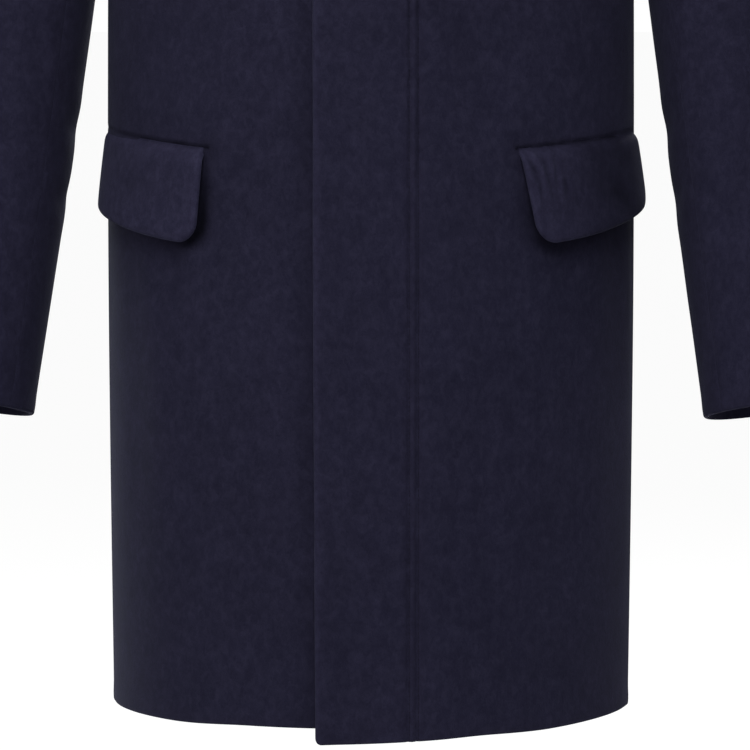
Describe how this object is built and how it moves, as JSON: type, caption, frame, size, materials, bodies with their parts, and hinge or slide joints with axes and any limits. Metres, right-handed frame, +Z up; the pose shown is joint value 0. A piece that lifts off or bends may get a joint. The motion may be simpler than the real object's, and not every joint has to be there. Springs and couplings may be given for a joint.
{
  "type": "hooded coat",
  "caption": "Dark navy wool hooded coat of three-quarter length with a covered front fastening and flapped pockets, hanging filled out as worn.",
  "frame": {"origin": "middle of the neck, level with the neck ends of the shoulder seams", "axes": "+Z up, -Y out of the coat's front, +X to the wearer's left"},
  "size_m": [0.7046, 0.3068, 1.2691],
  "materials": {
    "wool": "matte brushed wool"
  },
  "bodies": {
    "root": {"front_left_lower": "wool", "front_left_upper": "wool", "back_left_lower": "wool", "back_left_upper": "wool", "sleeve_left_cap": "wool", "sleeve_left_top": "wool", "sleeve_left_under": "wool", "hood_left": "wool", "flap_left": "wool", "front_right_lower": "wool", "front_right_upper": "wool", "back_right_lower": "wool", "back_right_upper": "wool", "sleeve_right_cap": "wool", "sleeve_right_top": "wool", "sleeve_right_under": "wool", "hood_right": "wool", "flap_right": "wool"}
  },
  "joints": []
}
